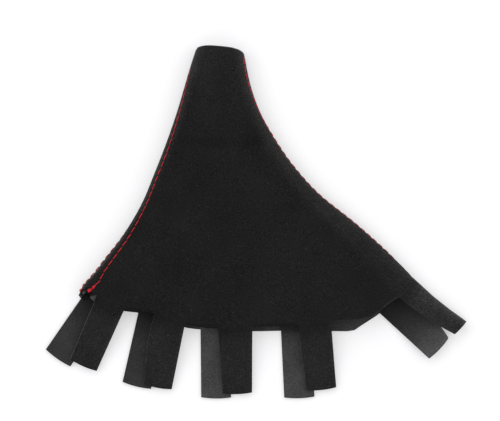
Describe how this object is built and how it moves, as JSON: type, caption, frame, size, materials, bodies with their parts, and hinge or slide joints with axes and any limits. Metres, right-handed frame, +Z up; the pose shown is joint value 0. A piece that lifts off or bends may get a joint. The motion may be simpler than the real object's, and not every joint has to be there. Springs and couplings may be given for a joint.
{
  "type": "gear lever gaiter",
  "caption": "Flared suede gear lever gaiter lying on its side, with contrast topstitching along both seams and glue tabs round its base",
  "frame": {"origin": "middle of the gaiter's outline, on the surface that it lies on", "axes": "+X across the base from the steep seam to the long seam, +Y towards the neck, +Z up"},
  "size_m": [0.2716, 0.2298, 0.0135],
  "materials": {
    "black_suede": "napped suede-like microfibre, matt, with a smooth dark grey back",
    "red_thread": "twisted polyester sewing thread with a slight sheen",
    "black_thread": "twisted polyester sewing thread"
  },
  "bodies": {
    "root": {"upper_side_panel": "black_suede", "lower_side_panel": "black_suede", "steep_seam_upper_topstitch": "red_thread", "steep_seam_lower_topstitch": "red_thread", "long_seam_upper_topstitch": "red_thread", "long_seam_lower_topstitch": "red_thread", "steep_seam_closing_thread": "black_thread", "long_seam_closing_thread": "black_thread"}
  },
  "joints": []
}
